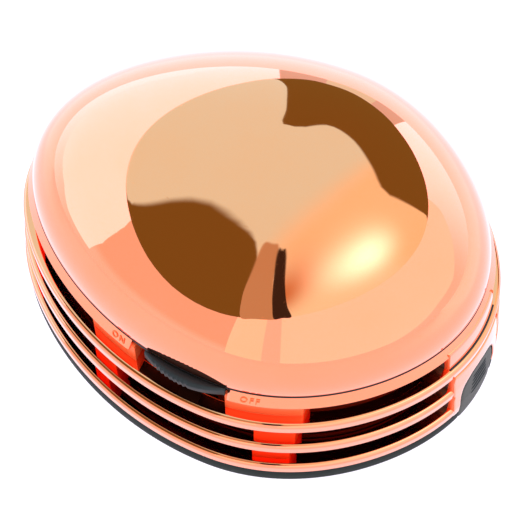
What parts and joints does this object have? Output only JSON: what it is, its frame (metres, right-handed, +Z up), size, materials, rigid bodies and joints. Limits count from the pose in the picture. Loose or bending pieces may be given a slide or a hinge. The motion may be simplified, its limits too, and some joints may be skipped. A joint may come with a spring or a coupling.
{
  "type": "mini vacuum cleaner",
  "caption": "Palm-size oval desktop vacuum: mirror dome over a louvred wall, thumb slider, release tab, hinged-open body on a dark base with an inlet slot.",
  "frame": {"origin": "middle of the outer box on the table plane, under the rubber feet", "axes": "+X along the length toward the release tab, -Y toward the thumb slider, +Z up"},
  "size_m": [0.1201, 0.096, 0.0638],
  "materials": {
    "mirror_plating": "mirror, rose gold",
    "base_plastic": "fine satin",
    "tab_plastic": "fine satin",
    "slider_plastic": "fine satin",
    "inner_plastic": "matt",
    "white_plastic": "moulded",
    "soft_rubber": "matt",
    "filter_felt": "felt",
    "motor_steel": "plated",
    "contact_metal": "nickel plated",
    "cell_sleeve": "plain sleeve"
  },
  "bodies": {
    "base": {"base_cover": "base_plastic", "inlet_duct": "inner_plastic", "wiper_strip_front": "soft_rubber", "wiper_strip_rear": "soft_rubber", "foot_front_left": "soft_rubber", "foot_front_right": "soft_rubber", "foot_rear_left": "soft_rubber", "foot_rear_right": "soft_rubber", "dust_seal": "soft_rubber"},
    "flap": {"inlet_flap": "inner_plastic"},
    "tab": {"release_tab": "tab_plastic"},
    "upper": {"rail_low": "mirror_plating", "rail_mid": "mirror_plating", "rail_top": "mirror_plating", "slope_band": "mirror_plating", "wall_ribs": "mirror_plating", "front_panel": "mirror_plating", "front_wall": "mirror_plating", "front_brow": "mirror_plating", "dome_cover": "mirror_plating", "motor_deck": "inner_plastic", "fan_plate": "inner_plastic", "filter_frame": "white_plastic", "filter_pad": "filter_felt", "motor_can": "motor_steel", "motor_end_cap": "inner_plastic", "battery_tray": "inner_plastic", "battery_left": "cell_sleeve", "battery_right": "cell_sleeve", "contact_front_left": "contact_metal", "contact_front_right": "contact_metal", "contact_rear_left": "contact_metal", "contact_rear_right": "contact_metal", "contact_spring_left": "contact_metal", "contact_spring_right": "contact_metal", "switch_body": "inner_plastic", "switch_bracket": "contact_metal", "deck_screws": "contact_metal", "plate_screws": "contact_metal"},
    "rotor": {"motor_shaft": "motor_steel", "impeller": "white_plastic"},
    "slider": {"switch_slider": "slider_plastic", "switch_lever": "inner_plastic"}
  },
  "joints": [
    {"name": "body_open", "type": "hinge", "parent": "base", "child": "upper", "pos_m": [-0.06, 0, 0.0061], "axis": [0, -1, 0], "range_deg": [0, 60]},
    {"name": "tab_press", "type": "hinge", "parent": "base", "child": "tab", "pos_m": [0.05315, -0.00521, 0.00375], "axis": [-0.0976, -0.9952, 0], "range_deg": [0, 4.8], "stiffness_Nm_per_rad": 0.2},
    {"name": "flap_swing", "type": "hinge", "parent": "base", "child": "flap", "pos_m": [0.0423, 0, 0.0125], "axis": [0, 1, 0], "range_deg": [0, 25]},
    {"name": "switch_slide", "type": "slide", "parent": "upper", "child": "slider", "axis": [-1, 0, 0], "range_m": [0, 0.0036]},
    {"name": "fan_spin", "type": "hinge", "parent": "upper", "child": "rotor", "pos_m": [0, 0, 0.03], "axis": [0, 0, 1], "continuous": true}
  ]
}
